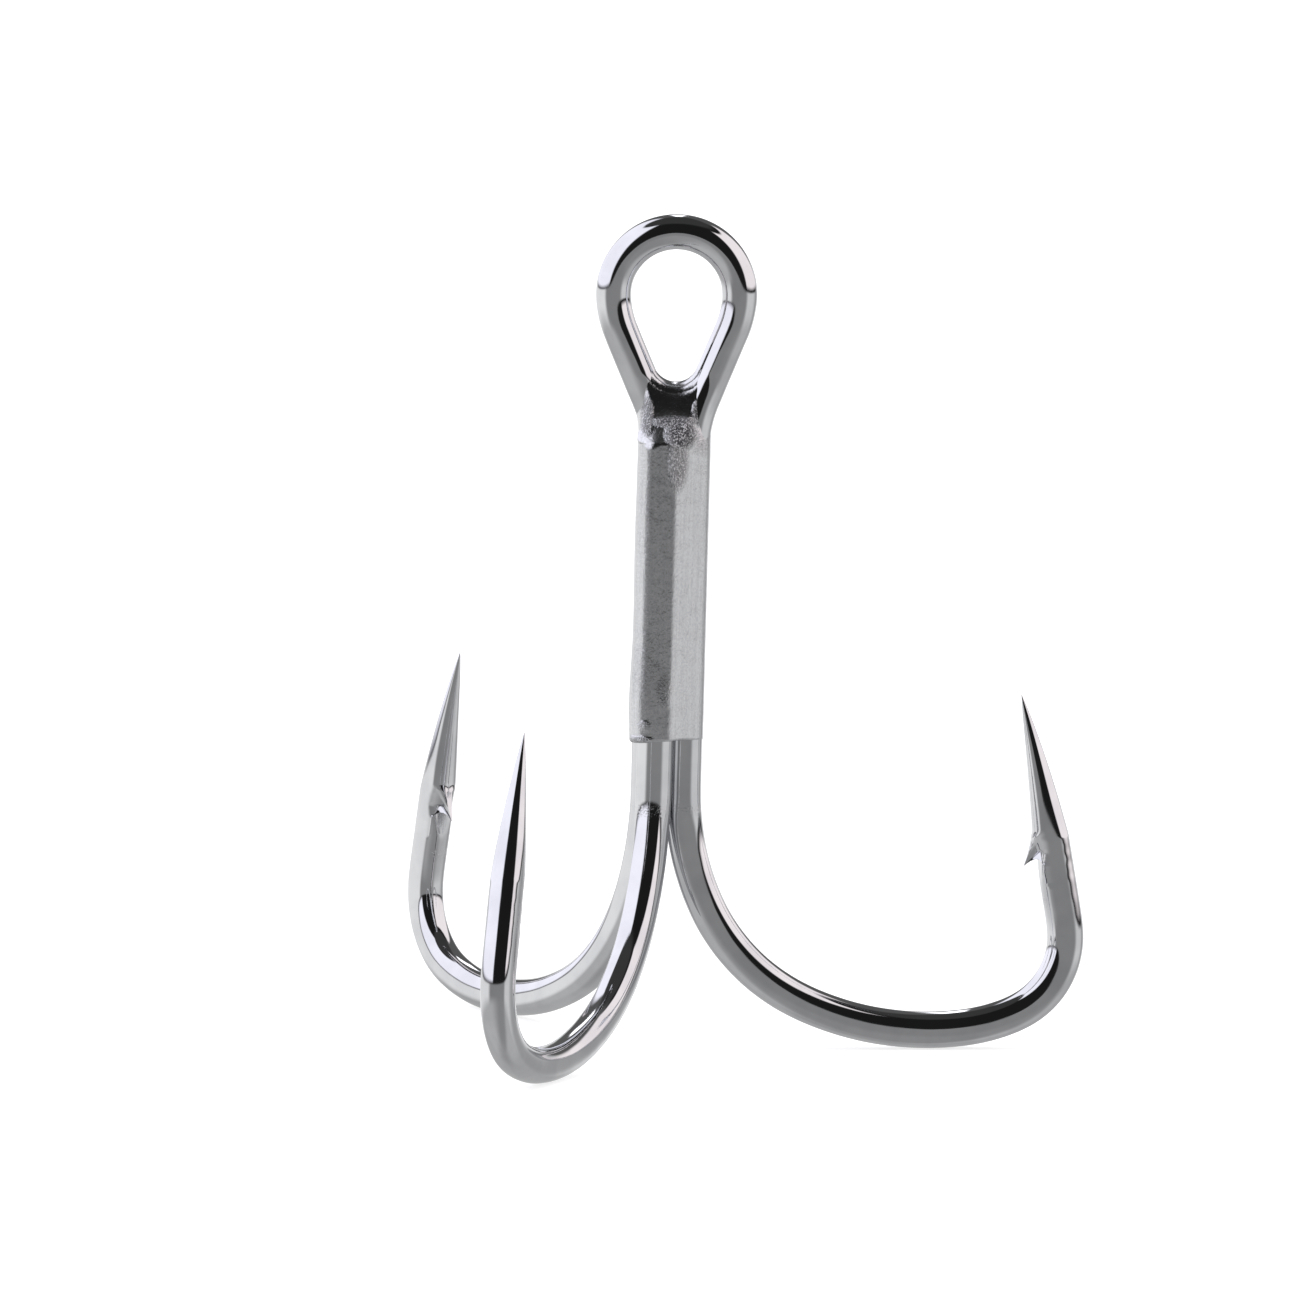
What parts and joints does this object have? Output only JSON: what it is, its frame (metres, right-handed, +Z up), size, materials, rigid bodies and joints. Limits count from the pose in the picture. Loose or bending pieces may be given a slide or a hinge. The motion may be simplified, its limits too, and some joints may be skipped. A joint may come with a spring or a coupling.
{
  "type": "treble hook",
  "caption": "Treble fishing hook: a double hook bent from one wire with a tapered eye, and a single hook brazed between its shanks. Each hook has a forged bend, a barb and a needle point.",
  "frame": {"origin": "centre of the eye, on the wire's centre plane there", "axes": "+Z up the shank towards the eye, +Y through the eye's hole. The eye is twisted 22 degrees on the shanks: the single hook points 22 degrees from -Y towards -X, and the hooks of the pair point 78.5 and -34.5 degrees from +Y towards +X"},
  "size_m": [0.0453, 0.0509, 0.0557],
  "materials": {
    "plated_wire": "bright nickel and tin plate over high-carbon steel wire, polished, with fine drawing and forging marks",
    "plated_braze": "the same bright plate over braze metal, softer and slightly grainy, with small pits at its ends"
  },
  "bodies": {
    "root": {"double_hook_wire": "plated_wire", "single_hook_wire": "plated_wire", "braze_cap": "plated_braze", "braze_core": "plated_braze", "braze_bead_back": "plated_braze", "braze_bead_right": "plated_braze", "braze_bead_left": "plated_braze"}
  },
  "joints": []
}
